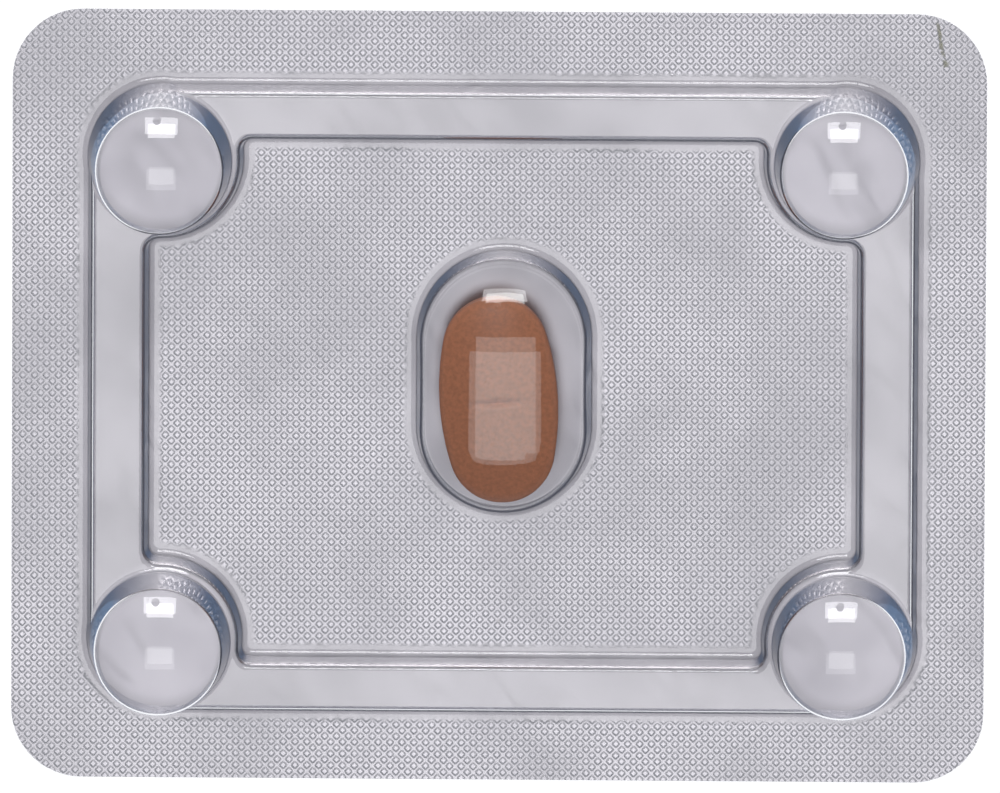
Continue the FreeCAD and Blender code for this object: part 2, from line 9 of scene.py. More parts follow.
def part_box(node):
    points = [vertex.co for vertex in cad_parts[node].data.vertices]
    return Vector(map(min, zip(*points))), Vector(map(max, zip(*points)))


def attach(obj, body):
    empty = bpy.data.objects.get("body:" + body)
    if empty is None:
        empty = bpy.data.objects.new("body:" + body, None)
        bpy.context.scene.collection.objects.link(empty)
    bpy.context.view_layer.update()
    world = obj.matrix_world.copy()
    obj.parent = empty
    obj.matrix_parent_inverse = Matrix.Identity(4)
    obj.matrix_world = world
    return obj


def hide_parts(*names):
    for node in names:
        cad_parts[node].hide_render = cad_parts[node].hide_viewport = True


bl_info = {
    "name": "Tablet blister card",
    "version": (1, 0, 0),
    "blender": (4, 5, 0),
    "location": "3D View > Sidebar > Blister card",
    "description": "Dresses a formed blister card with its film, foil and tablet",
    "category": "Mesh",
}

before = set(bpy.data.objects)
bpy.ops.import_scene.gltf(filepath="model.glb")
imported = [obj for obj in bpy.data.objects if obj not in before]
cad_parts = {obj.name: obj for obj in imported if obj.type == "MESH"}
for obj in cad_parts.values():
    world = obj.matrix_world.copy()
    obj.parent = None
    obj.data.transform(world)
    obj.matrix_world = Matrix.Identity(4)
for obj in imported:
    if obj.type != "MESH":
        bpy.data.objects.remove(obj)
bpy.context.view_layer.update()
FILM_LOW, FILM_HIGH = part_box("forming_film")
FOIL_LOW, FOIL_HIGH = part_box("lidding_foil")
TABLET_LOW, TABLET_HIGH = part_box("tablet")

MM = 0.001


def length(name, description, default):
    """A size in metres that the sidebar shows with its unit."""
    return bpy.props.FloatProperty(
        name=name, description=description, default=default, min=0.0, unit="LENGTH", precision=5
    )


def angle(name, description, degrees):
    return bpy.props.FloatProperty(
        name=name, description=description, default=math.radians(degrees), subtype="ANGLE"
    )


def colour(name, description, default):
    return bpy.props.FloatVectorProperty(
        name=name, description=description, default=default, size=3, subtype="COLOR", min=0, max=1
    )


class FilmSizes(bpy.types.PropertyGroup):
    """Sizes of the formed film, over the flat of the card."""

    card_corner: length("Card corner", "Radius of the card's corners", 5.85 * MM)
    wall: length("Film", "Wall of the formed film", 0.25 * MM)
    draft: angle("Draft", "Lean of the walls", 5)
    foot: length("Foot", "Flare where a wall leaves the flat", 0.55 * MM)
    group_x: length("Group X", "Formed shapes off the card's centre", 0.37 * MM)
    group_y: bpy.props.FloatProperty(
        name="Group Y", description="The same along Y", default=-0.13 * MM, unit="LENGTH"
    )
    spacing_x: length("Stud spacing X", "Axis to axis", 56.8 * MM)
    spacing_y: length("Stud spacing Y", "Axis to axis", 40.3 * MM)
    stud_radius: length("Stud", "Wall of a stud at the flat", 6.2 * MM)
    stud_height: length("Stud height", "Crest of a stud", 11.6 * MM)
    stud_rim: length("Stud rim", "Rounding between wall and crown", 0.9 * MM)
    stud_crown: length("Stud crown", "Sphere that the crown follows", 10.5 * MM)
    stud_foot: length("Stud foot", "Rounding where a stud leaves the channel", 0.35 * MM)
    channel_height: length("Channel", "Height of the channel", 3.6 * MM)
    channel_rim: length("Channel rim", "Rounding of its upper edges", 0.5 * MM)
    channel_inset: length("Channel inset", "Studs stand this proud of it", 0.1 * MM)
    side_width: length("Side channel", "Base width along Y", 5.05 * MM)
    end_width: length("End channel", "Base width along X", 4.5 * MM)
    collar: length("Collar", "Base of the wall that goes round a stud", 6.8 * MM)
    panel_corner: length("Panel corner", "Radius beside a stud", 1.0 * MM)
    pocket_length: length("Pocket length", "At the flat", 22.0 * MM)
    pocket_width: length("Pocket width", "At the flat", 14.6 * MM)
    pocket_height: length("Pocket height", "Crest of the pocket", 6.6 * MM)
    pocket_rim: length("Pocket rim", "Rounding between wall and crown", 1.0 * MM)
    crown_across: length("Crown across", "Radius across the pocket", 26.0 * MM)
    crown_along: length("Crown along", "Radius along the pocket", 76.0 * MM)
    end_start: length("End start", "From the pocket's middle to its softer ends", 6.2 * MM)
    end_round: length("End rounding", "Radius of those ends, along the pocket", 6.0 * MM)
    pocket_x: length("Pocket X", "Off the group's centre", 0.1 * MM)
    pocket_y: length("Pocket Y", "The same along Y", 1.5 * MM)
    foil_wall: length("Foil", "Its thickness", 0.025 * MM)
    thinning: bpy.props.FloatProperty(
        name="Thinning",
        description="Share of the film's wall that forming takes away at a stud's height",
        default=0.55,
        min=0,
        max=1,
        subtype="FACTOR",
    )
    net_pitch: length("Net", "From line to line of the sealing net", 0.70 * MM)
    net_height: length("Net depth", "How deep the net is pressed", 0.03 * MM)
    pip: length("Vent pip", "Radius of the small marks of the mould's vents", 0.34 * MM)
    pip_north: length("Pip place", "From a stud's axis towards +Y", 4.3 * MM)
    pip_west: length("Pip aside", "The same towards -X", 0.15 * MM)
    pocket_pip_north: length("Pocket pip", "From the pocket's middle towards +Y", 7.0 * MM)
    pocket_pip_west: length("Pocket pip aside", "The same towards -X", 0.5 * MM)


class TabletSizes(bpy.types.PropertyGroup):
    """Sizes of the tablet."""

    long: length("Length", "Tip to tip", 17.1 * MM)
    wide: length("Width", "Across", 9.8 * MM)
    thick: length("Thickness", "Crest to crest", 5.6 * MM)
    end_share: bpy.props.FloatProperty(
        name="Ends", description="Radius of the ends over the width", default=0.449
    )
    cup_across: length("Cup across", "Radius of a face across", 8.6 * MM)
    cup_along: length("Cup along", "Radius of a face along", 26.0 * MM)
    edge: length("Edge", "Softness between a face and the belly band", 0.45 * MM)
    score_width: length("Score", "Width of the score line", 0.9 * MM)
    score_depth: length("Score depth", "At the crest", 0.45 * MM)
    turn: angle("Turn", "How it lies", 4)


class CardColours(bpy.types.PropertyGroup):
    """Colours, as linear values."""

    film: colour("Film", "Tint of the clear film", (0.95, 0.955, 0.98))
    # Painted reflection: the dark blue that the film's steep walls get in place of mirroring the
    # studio's dark sides.
    wall: colour("Wall", "The same film seen along its walls", (0.03, 0.09, 0.24))
    foil: colour("Foil", "Bright side of the foil", (0.70, 0.665, 0.69))
    tablet: colour("Tablet", "Coat of the tablet", (0.71, 0.258, 0.108))
    specks: colour("Specks", "Specks of dirt on the foil", (0.12, 0.10, 0.09))
    scrape: colour("Scrape", "The scrape near a corner", (0.16, 0.15, 0.09))
    rubbed: colour("Rubbed spots", "Where the tablet's coat is thin", (0.50, 0.30, 0.22))
    floor: colour("Floor", "Table under the card", (0.95, 0.95, 0.95))
    sky: colour("Overhead", "Studio over the card", (0.09, 0.105, 0.14))
    north: colour("Far side", "Studio towards +Y", (0.34, 0.345, 0.37))
    sides: colour("Sides", "Studio towards +X and -X", (0.05, 0.06, 0.09))
    horizon: colour("Horizon", "Studio low down", (0.45, 0.46, 0.49))


def sizes():
    return bpy.context.scene.blister_film


def colours():
    return bpy.context.scene.blister_colours


def ways(turn):
    """Unit vectors at these angles from +X."""
    return np.stack([np.cos(turn), np.sin(turn)], axis=1)


def soft_step(share):
    """0 to 1, level at both ends."""
    share = np.clip(share, 0, 1)
    return share * share * (3 - 2 * share)


def raised(inside, height, foot, rim, lean):
    """Height of a raised shape with rounded foot and rim, by the distance inside its outline.

    The wall is a line that leaves the outline at `lean` from upright. A quarter of a circle of
    radius foot joins it to the flat below, and one of radius rim to the flat at the top.
    """
    slope = 1 / math.tan(lean)
    reach = math.tan(math.pi / 4 - lean / 2)
    low = -foot * reach
    high = height / slope + rim * reach
    swell = foot - np.sqrt(np.maximum(foot**2 - np.clip(inside - low, 0, foot) ** 2, 0))
    bend = height - rim + np.sqrt(np.maximum(rim**2 - np.clip(high - inside, 0, rim) ** 2, 0))
    return np.select(
        [
            inside <= low,
            inside < low + foot * math.cos(lean),
            inside < high - rim * math.cos(lean),
            inside < high,
        ],
        [0 * inside, swell, slope * inside, bend],
        height + 0 * inside,
    )


def stud_height(s, away):
    """Height of a stud by the distance from its axis: a spherical crown, a rim arc that touches
    both the crown and the wall, the leaning wall, and the flare at its foot. Also the distances at
    which the crown and the rim arc end."""
    crown_z = s.stud_height - s.stud_crown
    along = np.array([-math.sin(s.draft), math.cos(s.draft)])
    wall_start = np.array([s.stud_radius, 0.0])
    start = wall_start - s.stud_rim * np.array([math.cos(s.draft), math.sin(s.draft)])
    offset = start - np.array([0.0, crown_z])
    half = float(offset @ along)
    run = -half + math.sqrt(half**2 - float(offset @ offset) + (s.stud_crown - s.stud_rim) ** 2)
    rim = start + run * along
    crown_edge = rim[0] * s.stud_crown / (s.stud_crown - s.stud_rim)
    rim_edge = (wall_start + run * along)[0]
    crown = crown_z + np.sqrt(np.maximum(s.stud_crown**2 - away**2, 0))
    bend = rim[1] + np.sqrt(np.maximum(s.stud_rim**2 - (away - rim[0]) ** 2, 0))
    wall = raised(s.stud_radius - away, 2 * s.stud_height, s.foot, s.stud_rim, s.draft)
    height = np.select([away < crown_edge, away < rim_edge], [crown, bend], wall)
    return height, crown_edge, rim_edge


def round_both(a, b, radius):
    """Distance inside two outlines at once, with the corner between them rounded."""
    corner = np.hypot(np.maximum(radius - a, 0), np.maximum(radius - b, 0))
    return np.maximum(radius, np.minimum(a, b)) - corner


def ring_outlines(s):
    """Half sizes of the channel's outer outline and of the panel inside it."""
    half = np.array([s.spacing_x / 2, s.spacing_y / 2]) + s.stud_radius - s.channel_inset
    return half, half - np.array([s.side_width, s.end_width])


def to_stud(s, x, y):
    """Distance from the nearest stud's axis."""
    return np.hypot(abs(x) - s.spacing_x / 2, abs(y) - s.spacing_y / 2)


def inside_ring(s, x, y):
    """Distance inside the channel's band, from its outer outline or from the panel's."""
    outer, panel = ring_outlines(s)
    corner = s.stud_radius - s.channel_inset
    from_outer = round_both(outer[0] - abs(x), outer[1] - abs(y), corner)
    in_sides = np.minimum(panel[0] - abs(x), panel[1] - abs(y))
    in_panel = round_both(in_sides, to_stud(s, x, y) - s.collar, s.panel_corner)
    return np.minimum(from_outer, -in_panel)


def inside_pocket(s, x, y):
    """Distance inside the pocket's obround outline."""
    px, py = x - s.pocket_x, y - s.pocket_y
    straight = (s.pocket_length - s.pocket_width) / 2
    return s.pocket_width / 2 - np.hypot(px, np.maximum(abs(py) - straight, 0))


def pips(s, x, y):
    """Small round nubs on the studs' rims and one on the pocket, left by the mould's vents."""
    east = x - np.sign(x) * s.spacing_x / 2 + s.pip_west
    north = y - np.sign(y) * s.spacing_y / 2 - s.pip_north
    pocket_east = x - s.pocket_x + s.pocket_pip_west
    pocket_north = y - s.pocket_y - s.pocket_pip_north
    stud, pocket = np.hypot(east, north), np.hypot(pocket_east, pocket_north)
    near = np.minimum(stud, pocket) / s.pip
    return 0.55 * s.pip * np.maximum(1 - near**2, 0) ** 1.5


def film_height(s, x, y):
    """Height of the film's upper face over the flat, x and y from the middle of the formed group.

    The highest of the channel, the pocket and the studs, with a small arc where a stud's wall
    stands on the channel.
    """
    ring = raised(inside_ring(s, x, y), s.channel_height, s.foot, s.channel_rim, s.draft)
    px, py = x - s.pocket_x, y - s.pocket_y
    crown = (
        s.pocket_height
        - (s.crown_across - np.sqrt(np.maximum(s.crown_across**2 - px**2, 0)))
        - (s.crown_along - np.sqrt(np.maximum(s.crown_along**2 - py**2, 0)))
        - np.maximum(np.hypot(px, py) - s.end_start, 0) ** 2 / (2 * s.end_round)
    )
    pocket = raised(inside_pocket(s, x, y), crown, s.foot, s.pocket_rim, s.draft)
    low = np.maximum(ring, pocket)
    away = to_stud(s, x, y)
    stud, _, _ = stud_height(s, away)
    on_channel = soft_step((low / s.channel_height - 0.85) / 0.15)
    foot = np.maximum(s.stud_foot * on_channel, 1e-9)
    reach = math.tan(math.pi / 4 - s.draft / 2)
    past = s.stud_radius - away - low * math.tan(s.draft) + foot * reach
    bend = foot - np.sqrt(np.maximum(foot**2 - np.clip(past, 0, foot) ** 2, 0))
    bend = np.where(past < foot * math.cos(s.draft), bend, 0)
    return np.maximum(stud, low + bend) + pips(s, x, y)


def film_normals(s, x, y):
    """Unit normals of that face, from how its height changes either way."""
    step = 0.002 * MM
    dx = (film_height(s, x + step, y) - film_height(s, x - step, y)) / (2 * step)
    dy = (film_height(s, x, y + step) - film_height(s, x, y - step)) / (2 * step)
    normals = np.stack([-dx, -dy, np.ones_like(dx)], axis=1)
    return normals / np.linalg.norm(normals, axis=1, keepdims=True)


def stations(height, foot, rim, lean, bends=7, walls=3):
    """Distances inside an outline at which a raised shape's bends and wall want a row of points."""
    slope = 1 / math.tan(lean)
    reach = math.tan(math.pi / 4 - lean / 2)
    turn = np.linspace(0, math.pi / 2 - lean, bends)
    low = -foot * reach + foot * np.sin(turn)
    high = height / slope + rim * reach - rim * np.sin(turn[::-1])
    wall = np.linspace(low[-1], high[0], walls + 2)[1:-1]
    return np.concatenate([[low[0] - 0.25 * MM], low, wall, high, [high[-1] + 0.25 * MM]])


def rows(path, normals, offsets):
    """A profile carried along a path: one row of points for each offset along the normals."""
    return (path[None] + offsets[:, None, None] * normals[None]).reshape(-1, 2)


def along_rows(count, rows_count, closed):
    """Edges along each row of such a grid."""
    index = np.arange(count * rows_count).reshape(rows_count, count)
    after = np.roll(index, -1, axis=1)
    if not closed:
        index, after = index[:, :-1], after[:, :-1]
    return np.stack([index.ravel(), after.ravel()], axis=1)


def graded(low, high, count):
    """Points from low to high that crowd towards both ends."""
    turn = np.linspace(0, math.pi, count)
    return low + (high - low) * (1 - np.cos(turn)) / 2


def panel_outline(s):
    """One quarter of the panel's outline, from its +X side to its +Y side, with outward normals:
    a small arc, the hollow arc round the stud, and another small arc."""
    _, (a, b) = ring_outlines(s)
    stud = np.array([s.spacing_x / 2, s.spacing_y / 2])
    big, small = s.collar, s.panel_corner
    apart = big + small
    by_side = np.array([a - small, stud[1] - math.sqrt(apart**2 - (stud[0] - a + small) ** 2)])
    by_end = np.array([stud[0] - math.sqrt(apart**2 - (stud[1] - b + small) ** 2), b - small])
    to_side = math.atan2(*(stud - by_side)[::-1])
    to_end = math.atan2(*(stud - by_end)[::-1])
    first = np.linspace(0, to_side, 10)
    hollow = np.linspace(to_side + math.pi, to_end + math.pi, 30)[1:-1]
    last = np.linspace(to_end, math.pi / 2, 10)
    points = [by_side + small * ways(first), stud + big * ways(hollow), by_end + small * ways(last)]
    normals = [ways(first), -ways(hollow), ways(last)]
    return np.concatenate(points), np.concatenate(normals)


def closed_by_mirrors(points, normals, sides=24):
    """A quarter outline mirrored into the other quarters, anticlockwise, joined by graded straight
    runs, and its outward normals."""
    signs = zip([(1, 1), (-1, 1), (-1, -1), (1, -1)], (1, -1, 1, -1))
    quarters = [(points[::order] * sign, normals[::order] * sign) for sign, order in signs]
    share = graded(0, 1, sides)[1:-1, None]
    all_points, all_normals = [], []
    for (arc, facing), (after, _) in zip(quarters, quarters[1:] + quarters[:1]):
        all_points += [arc, arc[-1] + share * (after[0] - arc[-1])]
        all_normals += [facing, np.repeat(facing[-1:], sides - 2, axis=0)]
    return np.concatenate(all_points), np.concatenate(all_normals)


def card_outline(s):
    """The card's outline, a rectangle with rounded corners, and its outward normals."""
    corner = ways(np.linspace(0, math.pi / 2, 14))
    middle = np.array([FOIL_HIGH.x, FOIL_HIGH.y]) - s.card_corner
    return closed_by_mirrors(middle + s.card_corner * corner, corner)


class Plan:
    """Points of a surface seen from above, and the edges that its triangles have to keep."""

    def __init__(self):
        self.points = []
        self.edges = []
        self.count = 0

    def add(self, points, edges=None):
        self.points.append(points)
        if edges is not None:
            self.edges.append(edges + self.count)
        self.count += len(points)

    def triangles(self):
        """Delaunay triangles over all the points, kept edges included."""
        points = np.concatenate(self.points) / MM
        edges = np.concatenate(self.edges).tolist()
        found = delaunay_2d_cdt([Vector(p) for p in points.tolist()], edges, [], 0, 1e-4)
        places = np.array([tuple(p) for p in found[0]]) * MM
        return places, np.array(found[2])


def film_plan(s):
    """Where the film wants points: crowded on every bend, sparse on the flats."""
    plan = Plan()
    group = np.array([s.group_x, s.group_y])
    outline, facing = card_outline(s)
    plan.add(outline - group, along_rows(len(outline), 1, True))
    inner = rows(outline, facing, np.array([-0.4 * MM, -3 * MM]))
    plan.add(inner - group)
    plan_channel(s, plan)
    plan_studs(s, plan)
    plan_pocket(s, plan)
    return plan


def plan_channel(s, plan):
    """Rows along the channel's outer walls and along its wall round the panel."""
    wall = stations(s.channel_height, s.foot, s.channel_rim, s.draft)
    outer, _ = ring_outlines(s)
    stud = np.array([s.spacing_x / 2, s.spacing_y / 2])
    for axis in (0, 1):
        run = graded(-stud[axis] + 0.05 * MM, stud[axis] - 0.05 * MM, 60)
        for side in (-1, 1):
            grid = np.empty((len(wall), len(run), 2))
            grid[:, :, axis] = run
            grid[:, :, 1 - axis] = side * (outer[1 - axis] - wall[:, None])
            plan.add(grid.reshape(-1, 2), along_rows(len(run), len(wall), False))
    path, facing = closed_by_mirrors(*panel_outline(s), sides=46)
    plan.add(rows(path, facing, wall), along_rows(len(path), len(wall), True))


def plan_studs(s, plan):
    """Rings round each stud: over its crown, its rim arc, its wall and its foot."""
    _, crown_edge, rim_edge = stud_height(s, np.zeros(1))
    circle = ways(np.linspace(0, 2 * math.pi, 97)[:-1])
    feet = s.stud_radius - stations(s.channel_height, s.foot, s.channel_rim, s.draft)
    rim_turn = np.linspace(math.asin(crown_edge / s.stud_crown), math.pi / 2 - s.draft, 12)
    rim_centre = rim_edge - s.stud_rim * math.cos(s.draft)
    junction = s.stud_radius - s.channel_height * math.tan(s.draft)
    away = np.concatenate(
        [
            np.linspace(0.5 * MM, crown_edge, 9)[:-1],
            rim_centre + s.stud_rim * np.sin(rim_turn),
            np.linspace(rim_edge, junction, 9)[1:-1],
            junction + np.linspace(-0.06, 0.36, 9) * MM,
            feet[feet > s.stud_radius - 0.2 * MM],
        ]
    )
    away = np.unique(np.round(away, 8))
    for sx in (-1, 1):
        for sy in (-1, 1):
            centre = np.array([sx * s.spacing_x / 2, sy * s.spacing_y / 2])
            grid = centre + away[:, None, None] * circle[None]
            plan.add(grid.reshape(-1, 2), along_rows(len(circle), len(away), True))
            plan.add(centre[None])
            plan.add(pip_fan(s, centre + np.array([-s.pip_west, s.pip_north])))


def plan_pocket(s, plan):
    """Rows round the pocket's walls and rim, and a grid over its crown."""
    straight = (s.pocket_length - s.pocket_width) / 2
    half = s.pocket_width / 2
    arc = ways(np.linspace(0, math.pi, 40))
    share = np.linspace(1, -1, 24)[1:-1, None] * straight
    side = np.concatenate([0 * share, share], axis=1)
    east = np.repeat([[1.0, 0.0]], len(side), 0)
    end = arc * half + (0, straight)
    side = side - (half, 0)
    path = np.concatenate([end, side, -end, -side])
    facing = np.concatenate([arc, -east, -arc, east])
    edge_height = film_height(s, np.array([s.pocket_x]), np.array([s.pocket_y]))[0] - 1.0 * MM
    wall = stations(edge_height, s.foot, s.pocket_rim, s.draft, bends=9, walls=5)
    wall = np.concatenate([wall, wall[-1] + np.array([0.3, 0.8, 1.5]) * MM])
    middle = np.array([s.pocket_x, s.pocket_y])
    plan.add(middle + rows(path, facing, -wall), along_rows(len(path), len(wall), True))
    reach = half - wall[-1] - 0.5 * MM
    along = np.linspace(-1, 1, 19) * (straight + reach * 0.8)
    grid = np.stack(np.meshgrid(np.linspace(-reach, reach, 9), along), axis=-1)
    plan.add(middle + grid.reshape(-1, 2))
    plan.add(pip_fan(s, middle + np.array([-s.pocket_pip_west, s.pocket_pip_north])))


def pip_fan(s, place):
    """Points close round a pip."""
    circle = ways(np.linspace(0, 2 * math.pi, 25)[:-1])
    away = np.array([0.15, 0.35, 0.55, 0.75, 0.9, 1.0, 1.15]) * s.pip
    return np.concatenate([[place], (place + away[:, None, None] * circle).reshape(-1, 2)])


def new_piece(name, points, faces, corner_normals=None):
    """A mesh object from whole arrays, with smooth faces and the given normals at its corners."""
    mesh = bpy.data.meshes.new(name)
    mesh.vertices.add(len(points))
    mesh.vertices.foreach_set("co", np.asarray(points, np.float32).ravel())
    sides = faces.shape[1]
    mesh.loops.add(faces.size)
    mesh.loops.foreach_set("vertex_index", faces.astype(np.int32).ravel())
    mesh.polygons.add(len(faces))
    mesh.polygons.foreach_set("loop_start", np.arange(len(faces), dtype=np.int32) * sides)
    mesh.polygons.foreach_set("use_smooth", np.ones(len(faces), bool))
    mesh.update(calc_edges=True)
    if corner_normals is not None:
        mesh.normals_split_custom_set(corner_normals.reshape(-1, 3).tolist())
    piece = bpy.data.objects.new(name, mesh)
    bpy.context.scene.collection.objects.link(piece)
    return piece


def rim_edges(triangles):
    """The edges that only one triangle uses, in that triangle's own direction."""
    edges = np.concatenate([triangles[:, [0, 1]], triangles[:, [1, 2]], triangles[:, [2, 0]]])
    _, first, counts = np.unique(
        np.sort(edges, axis=1), axis=0, return_index=True, return_counts=True
    )
    return edges[first[counts == 1]]


def closed_shell(name, top, bottom, normals, triangles):
    """Two faces with the same triangles and opposite normals, joined by a sharp upright band round
    their rim."""
    count = len(top)
    edges = rim_edges(triangles)
    start, end = edges[:, 0], edges[:, 1]
    band = np.concatenate(
        [np.stack([end, start, start + count], 1), np.stack([end, start + count, end + count], 1)]
    )
    run = top[end] - top[start]
    out = np.stack([run[:, 1], -run[:, 0], np.zeros(len(run))], axis=1)
    out /= np.linalg.norm(out, axis=1, keepdims=True)
    out = np.concatenate([out, out])
    under = triangles[:, ::-1]
    faces = np.concatenate([triangles, under + count, band])
    normals = np.concatenate(
        [normals[triangles], -normals[under], np.repeat(out[:, None], 3, axis=1)]
    )
    return new_piece(name, np.concatenate([top, bottom]), faces, normals)


def upward(points, triangles):
    """The triangles, each turned so that it faces up."""
    a, b, c = points[triangles[:, 0]], points[triangles[:, 1]], points[triangles[:, 2]]
    turn = np.cross(b - a, c - a)
    return np.where((turn < 0)[:, None], triangles[:, ::-1], triangles)


def new_group(name, inputs, outputs):
    """A shader node group: its nodes, and the sockets that give its inputs. An input without a
    default is a place; all the others, and the outputs, are numbers."""
    group = bpy.data.node_groups.new(name, "ShaderNodeTree")
    for label, default in inputs.items():
        kind = "NodeSocketVector" if default is None else "NodeSocketFloat"
        socket = group.interface.new_socket(label, in_out="INPUT", socket_type=kind)
        if default is not None:
            socket.default_value = default
    for label in outputs:
        group.interface.new_socket(label, in_out="OUTPUT", socket_type="NodeSocketFloat")
    nodes = Nodes(group)
    return nodes, nodes.add("NodeGroupInput").outputs


class Nodes:
    """Adds nodes to a tree and links their inputs by name or number."""

    def __init__(self, tree):
        self.tree = tree
        self.column = 0

    def add(self, kind, inputs=None, **settings):
        node = self.tree.nodes.new(kind)
        node.location = (220 * (self.column % 8), -260 * (self.column // 8))
        self.column += 1
        for name, value in settings.items():
            setattr(node, name, value)
        for name, value in (inputs or {}).items():
            self.feed(node.inputs[name], value)
        return node

    def feed(self, socket, value):
        if isinstance(value, bpy.types.NodeSocket):
            self.tree.links.new(value, socket)
        else:
            socket.default_value = value

    def math(self, operation, first, second=None, third=None):
        values = enumerate((first, second, third))
        inputs = {number: value for number, value in values if value is not None}
        return self.add("ShaderNodeMath", inputs, operation=operation).outputs[0]

    def times(self, first, second):
        return self.math("MULTIPLY", first, second)

    def ramp(self, value, low, high, to_low=0.0, to_high=1.0):
        """The value eased from low to high into to_low to to_high."""
        node = self.add(
            "ShaderNodeMapRange",
            {0: value, 1: low, 2: high, 3: to_low, 4: to_high},
            interpolation_type="SMOOTHSTEP",
        )
        return node.outputs[0]

    def mix(self, share, first, second):
        node = self.add("ShaderNodeMix", data_type="RGBA")
        for number, value in ((0, share), (6, first), (7, second)):
            if number and not isinstance(value, bpy.types.NodeSocket):
                value = (*value, 1.0)
            self.feed(node.inputs[number], value)
        return node.outputs[2]

    def noise(self, vector, scale, detail=2.0, roughness=0.5):
        node = self.add(
            "ShaderNodeTexNoise",
            {"Vector": vector, "Scale": scale, "Detail": detail, "Roughness": roughness},
        )
        return node.outputs[0]

    def vector(self, operation, first, second=(0, 0, 0)):
        inputs = {0: first, "Scale" if operation == "SCALE" else 1: second}
        return self.add("ShaderNodeVectorMath", inputs, operation=operation).outputs[0]

    def turned(self, vector, angle):
        return self.add("ShaderNodeVectorRotate", {"Vector": vector, "Angle": angle}).outputs[0]

    def attribute(self, name):
        """A number that the mesh holds for each vertex."""
        return self.add("ShaderNodeAttribute", attribute_name=name).outputs["Fac"]

    def bump(self, height, strength, distance):
        inputs = {"Strength": strength, "Distance": distance, "Height": height}
        return self.add("ShaderNodeBump", inputs).outputs[0]

    def put_out(self, **values):
        """Feeds the group's outputs."""
        ends = self.add("NodeGroupOutput").inputs
        for name, value in values.items():
            self.feed(ends[name], value)


def seal_group():
    """The net that the hot sealing plate presses into the foil.

    Two families of lines cross at right angles, each at 45 degrees to the card. The distance to
    the nearest line of a family, eased, goes from 0 on the line to 1 well before half way to the
    next; the product of the two is a flat-topped bump in each cell. The place is shaken a little by
    noise first, so that the lines waver, and each cell gets its own height. A painted shade of the
    relief darkens the lines, most on the bumps' flanks.
    """
    inputs = {"Vector": None, "Pitch": sizes().net_pitch, "Waver": 0.05}
    nodes, given = new_group("Seal pattern", inputs, ("Height", "Lines"))
    turned = nodes.turned(given["Vector"], math.radians(45))
    scaled = nodes.vector("SCALE", turned, nodes.math("DIVIDE", 1.0, given["Pitch"]))
    shake = nodes.add(
        "ShaderNodeTexNoise", {"Vector": scaled, "Scale": 0.9, "Detail": 1.5}
    ).outputs["Color"]
    centred = nodes.vector("SUBTRACT", shake, (0.5, 0.5, 0.5))
    place = nodes.vector("ADD", scaled, nodes.vector("SCALE", centred, given["Waver"]))
    split = nodes.add("ShaderNodeSeparateXYZ", {0: place}).outputs
    swells = [nodes.ramp(nodes.math("PINGPONG", split[axis], 0.5), 0.04, 0.34) for axis in (0, 1)]
    bump = nodes.times(*swells)
    # Painted shade of the net's relief: darkest on the bumps' flanks, none on their tops.
    outer = nodes.ramp(bump, 0.0, 0.3, 0.45, 1.0)
    flank_shade = nodes.times(outer, nodes.ramp(bump, 0.35, 0.8, 1.0, 0.0))
    floor = nodes.vector("FLOOR", place)
    cell = nodes.add("ShaderNodeTexWhiteNoise", {"Vector": floor}).outputs[0]
    height = nodes.times(bump, nodes.math("MULTIPLY_ADD", cell, 0.14, 0.86))
    nodes.put_out(Height=height, Lines=flank_shade)


def speck_group():
    """Small dark specks: the middles of a few cells of a Voronoi pattern, picked by chance."""
    inputs = {"Vector": None, "Scale": 250.0, "Size": 0.12, "Share": 0.02}
    nodes, given = new_group("Specks", inputs, ("Mask",))
    cells = nodes.add(
        "ShaderNodeTexVoronoi", {"Vector": given["Vector"], "Scale": given["Scale"]}
    ).outputs
    near = nodes.ramp(cells["Distance"], 0.0, given["Size"], 1.0, 0.0)
    lot = nodes.add("ShaderNodeSeparateColor", {0: cells["Color"]}).outputs[0]
    picked = nodes.math("LESS_THAN", lot, given["Share"])
    nodes.put_out(Mask=nodes.times(near, picked))


def crease_group():
    """Soft creases of loose foil: ridges where a noise drawn out along a slant is near its middle,
    on top of a broad swell. The ridges also mask a painted shade along the folds."""
    inputs = {"Vector": None, "Angle": math.radians(-35), "Scale": 330.0}
    nodes, given = new_group("Creases", inputs, ("Height", "Fold"))
    turned = nodes.turned(given["Vector"], given["Angle"])
    drawn = nodes.vector("MULTIPLY", turned, (1, 0.35, 1))
    level = nodes.noise(drawn, given["Scale"], 1.0, 0.4)
    off = nodes.math("ABSOLUTE", nodes.math("SUBTRACT", level, 0.5))
    fold = nodes.ramp(off, 0.0, 0.15, 1.0, 0.0)
    swell = nodes.noise(given["Vector"], 160.0, 0.0)
    fold = nodes.times(fold, nodes.ramp(swell, 0.4, 0.6))
    nodes.put_out(Height=nodes.math("MULTIPLY_ADD", fold, 0.22, swell), Fold=fold)


